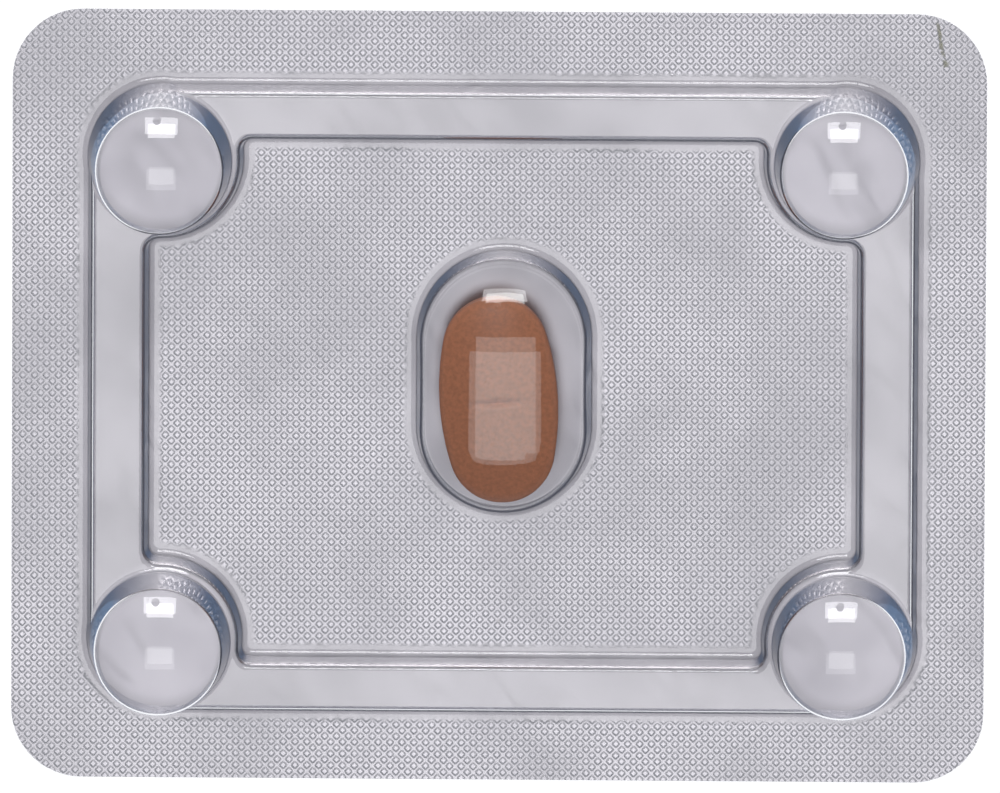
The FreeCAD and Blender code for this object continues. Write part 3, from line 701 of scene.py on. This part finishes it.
def stroke_group():
    """A short scrape: near to a straight stroke of a given middle, reach and slant, and broken up
    by noise."""
    inputs = {"Vector": None, "Middle": None, "Angle": 0.0, "Reach": 1.0 * MM, "Width": 0.1 * MM}
    nodes, given = new_group("Stroke", inputs, ("Mask",))
    near = nodes.vector("SUBTRACT", given["Vector"], given["Middle"])
    split = nodes.add("ShaderNodeSeparateXYZ", {0: nodes.turned(near, given["Angle"])}).outputs
    level = nodes.noise(given["Vector"], 900.0, 2.0)
    waver = nodes.math("MULTIPLY_ADD", level, 0.6 * MM, -0.3 * MM)
    across = nodes.math("ABSOLUTE", nodes.math("ADD", split[0], waver))
    past = nodes.math("SUBTRACT", nodes.math("ABSOLUTE", split[1]), given["Reach"])
    away = nodes.math("MAXIMUM", nodes.times(past, 0.3), across)
    mask = nodes.ramp(away, nodes.times(given["Width"], 0.4), given["Width"], 1.0, 0.0)
    broken = nodes.ramp(nodes.noise(given["Vector"], 1500.0, 2.0), 0.38, 0.5)
    nodes.put_out(Mask=nodes.times(mask, broken))


def shaded(colour, share):
    """A colour made darker, or lighter where the share is over 1."""
    return [share * part for part in colour]


def effect(nodes, name, inputs):
    """The outputs of a shared effect that is fed with the given inputs."""
    node = nodes.add("ShaderNodeGroup", node_tree=bpy.data.node_groups[name])
    for label, value in inputs.items():
        nodes.feed(node.inputs[label], value)
    return node.outputs


def new_material(name):
    """A material with an empty tree, its nodes, and its object coordinates."""
    material = bpy.data.materials.new(name)
    material.use_nodes = True
    material.node_tree.nodes.clear()
    nodes = Nodes(material.node_tree)
    place = nodes.add("ShaderNodeTexCoord").outputs["Object"]
    return material, nodes, place


def plain_shader(nodes, inputs):
    return nodes.add("ShaderNodeBsdfPrincipled", inputs).outputs[0]


def finish_material(nodes, shader):
    nodes.feed(nodes.add("ShaderNodeOutputMaterial").inputs["Surface"], shader)


def film_material():
    """Clear rigid film: slight tint, painted dark reflection on steep walls, soft waves from
    forming.
    """
    material, nodes, place = new_material("Clear film")
    bump = nodes.bump(nodes.noise(place, 260.0, 0.0), 0.1, 0.02 * MM)
    slant = nodes.add("ShaderNodeLayerWeight", {"Blend": 0.5, "Normal": bump}).outputs["Facing"]
    # Painted reflection: dark blue mixed into the film on its steep walls, more at grazing views.
    wall_reflection_share = nodes.times(nodes.attribute("wall_reflection_share"), nodes.ramp(slant, 0.5, 0.8))
    inputs = {
        "Base Color": nodes.mix(wall_reflection_share, colours().film, colours().wall),
        "Roughness": 0.0,
        "IOR": 1.54,
        "Transmission Weight": 1.0,
        "Normal": bump,
    }
    finish_material(nodes, plain_shader(nodes, inputs))
    return material


def foil_material():
    """Bright soft foil: a pressed net where it is sealed, loose creases where it is not, a ragged
    edge of sealing lacquer between the two, faint smudges, a few dark specks and one scrape.
    Painted shade darkens the net's lines, the creases' folds and the loose foil, far less under the
    studs."""
    material, nodes, place = new_material("Lidding foil")
    bright = colours().foil
    sealed = nodes.attribute("sealed")
    seal = effect(nodes, "Seal pattern", {"Vector": place})
    creases = effect(nodes, "Creases", {"Vector": place})
    specks = effect(nodes, "Specks", {"Vector": place})
    scrape = effect(
        nodes,
        "Stroke",
        {
            "Vector": place,
            "Middle": (36.7 * MM, 29.6 * MM, 0),
            "Angle": math.radians(-12),
            "Reach": 1.4 * MM,
            "Width": 0.24 * MM,
        },
    )
    fine = nodes.noise(place, 2600.0, 1.0)
    patches = nodes.noise(place, 700.0, 1.0)
    fused = nodes.ramp(nodes.math("MULTIPLY_ADD", patches, 0.24, sealed), 0.15, 1.15)
    slack = nodes.math("SUBTRACT", 1.0, fused)
    border = nodes.math("PINGPONG", nodes.ramp(sealed, 0.0, 0.9), 0.5)
    ragged = nodes.times(nodes.ramp(border, 0.15, 0.4), nodes.ramp(fine, 0.52, 0.6))
    ragged = nodes.times(ragged, nodes.ramp(nodes.noise(place, 110.0, 0.0), 0.5, 0.62))
    pressed = nodes.times(seal["Height"], fused)
    loose = nodes.times(creases["Height"], slack)
    height = nodes.math("MULTIPLY_ADD", loose, 1.8, pressed)
    height = nodes.math("MULTIPLY_ADD", fine, 0.03, height)
    height = nodes.math("MULTIPLY_ADD", ragged, 0.3, height)

    smudge = nodes.ramp(nodes.noise(place, 60.0, 3.0, 0.6), 0.35, 0.7)
    colour = nodes.mix(smudge, bright, shaded(bright, 0.95))
    # Painted shade: the loose foil is darker, and far less so under the studs.
    slack_shade = nodes.mix(nodes.attribute("under_stud_light"), shaded(bright, 0.69), shaded(bright, 0.93))
    colour = nodes.mix(slack, colour, slack_shade)
    # Painted shade along the net's lines and the bumps' flanks.
    flank_shade = nodes.times(nodes.times(seal["Lines"], fused), 0.45)
    colour = nodes.mix(flank_shade, colour, shaded(bright, 0.5))
    # Painted shade along the creases' folds.
    fold_shade = nodes.times(nodes.times(creases["Fold"], slack), 0.25)
    colour = nodes.mix(fold_shade, colour, shaded(bright, 0.5))
    colour = nodes.mix(specks["Mask"], colour, colours().specks)
    scraped = nodes.times(scrape["Mask"], nodes.attribute("upper"))
    colour = nodes.mix(scraped, colour, colours().scrape)
    inputs = {
        "Base Color": colour,
        "Metallic": 1.0,
        "Roughness": nodes.math("MULTIPLY_ADD", smudge, 0.06, 0.30),
        "Normal": nodes.bump(height, 1.0, 0.03 * MM),
    }
    finish_material(nodes, plain_shader(nodes, inputs))
    return material


def tablet_material():
    """A thin brown coat with a low sheen: fine orange peel, faint mottling, pale rubbed spots."""
    material, nodes, place = new_material("Tablet coat")
    coat = colours().tablet
    specks = effect(nodes, "Specks", {"Vector": place, "Scale": 1100.0, "Share": 0.16})
    mottle = nodes.ramp(nodes.noise(place, 2600.0, 2.0, 0.7), 0.3, 0.7)
    colour = nodes.mix(mottle, shaded(coat, 0.86), shaded(coat, 1.06))
    colour = nodes.mix(nodes.times(specks["Mask"], 0.5), colour, colours().rubbed)
    inputs = {
        "Base Color": colour,
        "Roughness": nodes.math("MULTIPLY_ADD", mottle, 0.08, 0.42),
        "Normal": nodes.bump(nodes.noise(place, 1900.0, 2.0), 0.25, 0.03 * MM),
    }
    finish_material(nodes, plain_shader(nodes, inputs))
    return material


def table_material():
    """A plain pale table with a faint mottling and a painted pool of light, greyer away from the
    card, lit a little from within like a light table, and clear from below, so that the card's back
    can be seen."""
    material, nodes, place = new_material("Pale table")
    pale = colours().floor
    colour = nodes.mix(nodes.noise(place, 8.0, 2.0), pale, shaded(pale, 0.985))
    away = nodes.add("ShaderNodeVectorMath", {0: place}, operation="LENGTH").outputs["Value"]
    # Painted pool of light: the table's colour and glow fade to grey away from the card.
    colour = nodes.mix(nodes.ramp(away, 0.09, 0.3), colour, shaded(pale, 0.5))
    inputs = {
        "Base Color": colour,
        "Roughness": 0.9,
        "Emission Color": colour,
        "Emission Strength": 0.7,
    }
    shader = plain_shader(nodes, inputs)
    clear = nodes.add("ShaderNodeBsdfTransparent").outputs[0]
    behind = nodes.add("ShaderNodeNewGeometry").outputs["Backfacing"]
    both = nodes.add("ShaderNodeMixShader", {0: behind, 1: shader, 2: clear})
    finish_material(nodes, both.outputs[0])
    return material


class BLISTER_OT_effects(bpy.types.Operator):
    """Builds the effects that the materials share"""

    bl_idname = "blister.effects"
    bl_label = "Shared effects"

    def execute(self, context):
        seal_group()
        speck_group()
        crease_group()
        stroke_group()
        return {"FINISHED"}


def sealed_share(s, places):
    """1 where foil and film are sealed, easing to 0 from 1.3 to 0.5 mm off a formed shape."""
    x, y = places[:, 0] - s.group_x, places[:, 1] - s.group_y
    inside = np.maximum(inside_ring(s, x, y), inside_pocket(s, x, y))
    inside = np.maximum(inside, s.stud_radius - to_stud(s, x, y))
    return soft_step((-inside - 0.5 * MM) / (0.8 * MM))


def store(piece, name, upper, lower):
    """A number for each vertex of the upper and the lower face, read by name in a material."""
    layer = piece.data.attributes.new(name, "FLOAT", "POINT")
    layer.data.foreach_set("value", np.concatenate([upper, lower]).astype(np.float32))


def painted_wall_reflection(normals):
    """How much of the walls' painted dark reflection of the studio's dark sides a place gets: more
    where it is steeper than 45 degrees, and more where it faces the card's short sides."""
    level = np.maximum(np.hypot(normals[:, 0], normals[:, 1]), 1e-6)
    aside = np.minimum(0.3 + abs(normals[:, 0]) / level, 1)
    return aside * np.clip((0.7 - normals[:, 2]) / 0.5, 0, 1)


class BLISTER_OT_film(bpy.types.Operator):
    """Forms the clear film, with smooth bends and a wall that thins as it rises"""

    bl_idname = "blister.film"
    bl_label = "Formed film"

    def execute(self, context):
        s = sizes()
        places, triangles = film_plan(s).triangles()
        triangles = upward(places, triangles)
        normals = film_normals(s, places[:, 0], places[:, 1])
        group = np.array([s.group_x, s.group_y])
        flat = FOIL_HIGH.z + s.wall
        height = film_height(s, places[:, 0], places[:, 1])
        top = np.column_stack([places + group, flat + height])
        thinned = s.wall * (1 - s.thinning * np.clip(height / s.stud_height, 0, 1))
        bottom = top - thinned[:, None] * normals
        piece = closed_shell("formed_film", top, bottom, normals, triangles)
        # The share of painted dark reflection at each point of the film.
        wall_reflection_share = painted_wall_reflection(normals)
        store(piece, "wall_reflection_share", wall_reflection_share, wall_reflection_share)
        piece.data.materials.append(film_material())
        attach(piece, "root")
        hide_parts("forming_film")
        piece.visible_shadow = False
        piece.visible_diffuse = False
        piece.visible_glossy = False
        return {"FINISHED"}


def pressed_height(s, places, share):
    """Relief of the foil: where it is sealed, a bump in each cell of the net, sine squared of its
    place across the cell either way; elsewhere three slow waves that cross at a slant."""
    u = (places[:, 0] - places[:, 1]) / math.sqrt(2) / s.net_pitch
    v = (places[:, 0] + places[:, 1]) / math.sqrt(2) / s.net_pitch
    net = (np.sin(math.pi * u) * np.sin(math.pi * v)) ** 2
    waves = np.zeros(len(places))
    for east, north, phase in ((0.9, 0.5, 0.3), (-0.4, 1.3, 1.9), (1.7, -1.1, 4.0)):
        waves += np.sin((east * places[:, 0] + north * places[:, 1]) / MM + phase) / 6
    return s.net_height * (share * net + (1 - share) * (0.5 + waves))


class BLISTER_OT_foil(bpy.types.Operator):
    """Lays the foil under the film, pressed into a net where it is sealed and wavy elsewhere"""

    bl_idname = "blister.foil"
    bl_label = "Lidding foil"

    def execute(self, context):
        s = sizes()
        half = np.array([FOIL_HIGH.x, FOIL_HIGH.y])
        outline, _ = card_outline(s)
        plan = Plan()
        plan.add(outline, along_rows(len(outline), 1, True))
        step = s.net_pitch / 2
        reach = math.ceil((half[0] + half[1]) / math.sqrt(2) / step)
        marks = np.arange(-reach, reach + 1) * step
        u, v = np.meshgrid(marks, marks)
        grid = np.stack([(u + v) / math.sqrt(2), (v - u) / math.sqrt(2)], axis=-1).reshape(-1, 2)
        inside = round_both(half[0] - abs(grid[:, 0]), half[1] - abs(grid[:, 1]), s.card_corner)
        plan.add(grid[inside > 0.2 * MM])
        places, triangles = plan.triangles()
        triangles = upward(places, triangles)
        up = np.tile([0.0, 0.0, 1.0], (len(places), 1))
        share = sealed_share(s, places)
        relief = FOIL_LOW.z + pressed_height(s, places, share)
        top = np.column_stack([places, relief + s.foil_wall])
        bottom = np.column_stack([places, relief])
        piece = closed_shell("foil_sheet", top, bottom, up, triangles)
        store(piece, "sealed", share, share)
        store(piece, "upper", np.ones(len(places)), np.zeros(len(places)))
        near = to_stud(s, places[:, 0] - s.group_x, places[:, 1] - s.group_y)
        # Share of painted light: the loose foil under a stud gets less painted shade.
        under_stud_light = np.clip((s.stud_radius - near) / (1.0 * MM), 0, 1)
        store(piece, "under_stud_light", under_stud_light, under_stud_light)
        piece.data.materials.append(foil_material())
        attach(piece, "root")
        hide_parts("lidding_foil")
        return {"FINISHED"}


def oval(t, turn):
    """The tablet's outline by the direction of its normal: end arcs of one radius, side arcs of
    another. A point is its arc's centre plus the radius times the normal."""
    end = t.wide * t.end_share
    reach = t.long / 2 - end
    side = ((t.wide / 2) ** 2 + reach**2 - end**2) / (t.wide - 2 * end)
    shift = side - t.wide / 2
    touch = math.atan2(reach, shift)
    normal = ways(turn)
    on_end = abs(np.sin(turn)) > math.sin(touch)
    centre = np.where(
        on_end[:, None],
        np.stack([0 * turn, reach * np.sign(normal[:, 1])], axis=1),
        np.stack([-shift * np.sign(normal[:, 0]), 0 * turn], axis=1),
    )
    radius = np.where(on_end, end, side)
    return centre + radius[:, None] * normal


def cupped(t, x, y):
    """Height of a face over the tablet's middle plane: round across and along."""
    across = t.cup_across - np.sqrt(np.maximum(t.cup_across**2 - x**2, 0))
    along = t.cup_along - np.sqrt(np.maximum(t.cup_along**2 - y**2, 0))
    return t.thick / 2 - across - along


class BLISTER_OT_tablet(bpy.types.Operator):
    """Turns the tablet out: an oval with two cupped faces, soft edges and a score line"""

    bl_idname = "blister.tablet"
    bl_label = "Tablet"

    def execute(self, context):
        t = context.scene.blister_tablet
        turn = np.linspace(0, 2 * math.pi, 241)[:-1]
        outline = oval(t, turn)
        soft_from = 0.9
        to_edge = np.sin(np.linspace(0.06, 1, 16) * math.pi / 2)
        shrink = np.concatenate(
            [np.linspace(0.02, soft_from, 34), soft_from + (1 - soft_from) * to_edge]
        )
        x, y = [shrink[:, None] * outline[None, :, axis] for axis in (0, 1)]
        past = np.clip((shrink - soft_from) / (1 - soft_from), 0, 1)
        edge_drop = t.edge * (1 - np.sqrt(np.maximum(1 - past**2, 0)))
        height = cupped(t, x, y) - edge_drop[:, None]
        groove = t.thick / 2 - t.score_depth + abs(y) * 2 * t.score_depth / t.score_width
        soft = 0.10 * MM
        lower = height - groove
        blend = np.clip(0.5 + 0.5 * lower / soft, 0, 1)
        scored = height * (1 - blend) + groove * blend - soft * blend * (1 - blend)
        middle = TABLET_LOW.z + t.thick / 2
        rings = np.stack([x, y, middle + scored], axis=-1)
        under = np.stack([x, y, middle - height], axis=-1)[::-1]
        count = len(turn)
        points = np.concatenate([rings.reshape(-1, 3), under.reshape(-1, 3)])
        total = 2 * len(shrink)
        index = np.arange(total * count).reshape(total, count)
        after = np.roll(index, -1, axis=1)
        quads = np.stack([index[:-1], index[1:], after[1:], after[:-1]], axis=-1).reshape(-1, 4)
        faces = np.concatenate([quads[:, [0, 1, 2]], quads[:, [0, 2, 3]]])
        tips = len(points)
        scored_middle = middle + t.thick / 2 - t.score_depth + 0.02 * MM
        points = np.concatenate([points, [[0, 0, scored_middle], [0, 0, middle - t.thick / 2]]])
        first, last = index[0], index[-1]
        caps = [
            np.stack([np.full(count, tips), first, after[0]], 1),
            np.stack([np.full(count, tips + 1), after[-1], last], 1),
        ]
        faces = np.concatenate([faces, *caps])
        spin = np.array(Matrix.Rotation(t.turn, 3, "Z"))
        points = points @ spin.T
        points[:, 0] += (TABLET_LOW.x + TABLET_HIGH.x) / 2
        points[:, 1] += (TABLET_LOW.y + TABLET_HIGH.y) / 2
        piece = new_piece("oval_tablet", points, faces)
        piece.data.materials.append(tablet_material())
        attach(piece, "root")
        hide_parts("tablet")
        return {"FINISHED"}


def facing(direction):
    """The turn that points +Z along a direction and keeps +Y as near to the card's +Y as it can."""
    z = Vector(direction).normalized()
    x = Vector((0, 1, 0)).cross(z).normalized()
    return Matrix((x, z.cross(x), z)).transposed()


def softbox(name, direction, spread, radiance):
    """A rectangular light that faces the card from a direction, so large that it spans the two
    angles in `spread`, with the given radiance."""
    distance = 2.0
    direction = Vector(direction).normalized()
    lamp = bpy.data.lights.new(name, "AREA")
    lamp.shape = "RECTANGLE"
    lamp.size, lamp.size_y = [2 * distance * math.tan(angle / 2) for angle in spread]
    lamp.energy = radiance * math.pi * lamp.size * lamp.size_y
    light = bpy.data.objects.new(name, lamp)
    light.location = direction * distance
    light.rotation_euler = facing(direction).to_euler()
    bpy.context.scene.collection.objects.link(light)


def tilted(east, north):
    """The direction that leans so many degrees from straight up towards +X and towards +Y."""
    return (math.tan(math.radians(east)), math.tan(math.radians(north)), 1)


def surroundings():
    """A dim studio: pale round the horizon and below, darker overhead and to the sides, brighter
    towards +Y."""
    world = bpy.data.worlds.new("Studio")
    world.use_nodes = True
    world.node_tree.nodes.clear()
    nodes = Nodes(world.node_tree)
    tints = colours()
    way = nodes.add("ShaderNodeTexCoord").outputs["Generated"]
    split = nodes.add("ShaderNodeSeparateXYZ", {0: way}).outputs
    colour = nodes.mix(nodes.ramp(split[1], -0.2, 0.9), tints.sky, tints.north)
    sides = nodes.ramp(nodes.math("ABSOLUTE", split[0]), 0.15, 0.6)
    colour = nodes.mix(nodes.times(sides, 0.55), colour, tints.sides)
    colour = nodes.mix(nodes.ramp(split[2], 0.5, 0.05), colour, tints.horizon)
    back = nodes.add("ShaderNodeBackground", {"Color": colour, "Strength": 1.0})
    nodes.feed(nodes.add("ShaderNodeOutputWorld").inputs["Surface"], back.outputs[0])
    bpy.context.scene.world = world


def photo_camera():
    """A camera where the photo's stood, far off, so that it sees the card almost without
    perspective."""
    lean = Vector(tilted(1.1, 8.0)).normalized()
    distance = 3.0
    seen_width = 83.2 * MM
    lens = bpy.data.cameras.new("Photo camera")
    lens.sensor_width = 36
    lens.lens = lens.sensor_width * distance / seen_width
    lens.clip_end = 20
    camera = bpy.data.objects.new("Photo camera", lens)
    aim = Vector((0.12 * MM, -0.06 * MM, FILM_LOW.z))
    camera.location = aim + lean * distance
    spin = Matrix.Rotation(math.radians(0.25), 3, "Z")
    camera.rotation_euler = (facing(lean) @ spin).to_euler()
    bpy.context.scene.collection.objects.link(camera)
    bpy.context.scene.camera = camera


class BLISTER_OT_stage(bpy.types.Operator):
    """Sets the pale table, the studio lights and the camera"""

    bl_idname = "blister.stage"
    bl_label = "Stage"

    def execute(self, context):
        reach = 1.2
        corners = np.array([[-1, -1, 0], [1, -1, 0], [1, 1, 0], [-1, 1, 0]]) * reach
        corners[:, 2] = -0.02 * MM
        table = new_piece("table", corners, np.array([[0, 1, 2, 3]]))
        table.data.materials.append(table_material())

        surroundings()
        softbox("Key box", tilted(0, 32), (math.radians(24), math.radians(13)), 7.2)
        softbox("Overhead panel", tilted(0, -9), (math.radians(22), math.radians(16)), 1.9)
        photo_camera()
        context.scene.view_settings.view_transform = "Standard"
        return {"FINISHED"}


class BLISTER_PT_panel(bpy.types.Panel):
    """The card's pieces in the sidebar"""

    bl_idname = "BLISTER_PT_panel"
    bl_label = "Blister card"
    bl_space_type = "VIEW_3D"
    bl_region_type = "UI"
    bl_category = "Blister card"

    def draw(self, context):
        for piece in OPERATORS:
            self.layout.operator(piece.bl_idname)
        for name in GROUPS:
            group = getattr(context.scene, name)
            box = self.layout.box()
            for key in group.bl_rna.properties.keys():
                if key not in ("rna_type", "name"):
                    box.prop(group, key)


OPERATORS = (
    BLISTER_OT_effects,
    BLISTER_OT_film,
    BLISTER_OT_foil,
    BLISTER_OT_tablet,
    BLISTER_OT_stage,
)
GROUPS = {
    "blister_film": FilmSizes,
    "blister_tablet": TabletSizes,
    "blister_colours": CardColours,
}


def register():
    for name, group in GROUPS.items():
        bpy.utils.register_class(group)
        setattr(bpy.types.Scene, name, bpy.props.PointerProperty(type=group))
    for piece in (*OPERATORS, BLISTER_PT_panel):
        bpy.utils.register_class(piece)


def unregister():
    for piece in (BLISTER_PT_panel, *reversed(OPERATORS)):
        bpy.utils.unregister_class(piece)
    for name, group in reversed(GROUPS.items()):
        delattr(bpy.types.Scene, name)
        bpy.utils.unregister_class(group)


def main():
    register()
    bpy.ops.blister.effects()
    bpy.ops.blister.film()
    bpy.ops.blister.foil()
    bpy.ops.blister.tablet()
    bpy.ops.blister.stage()


if __name__ == "__main__":
    main()
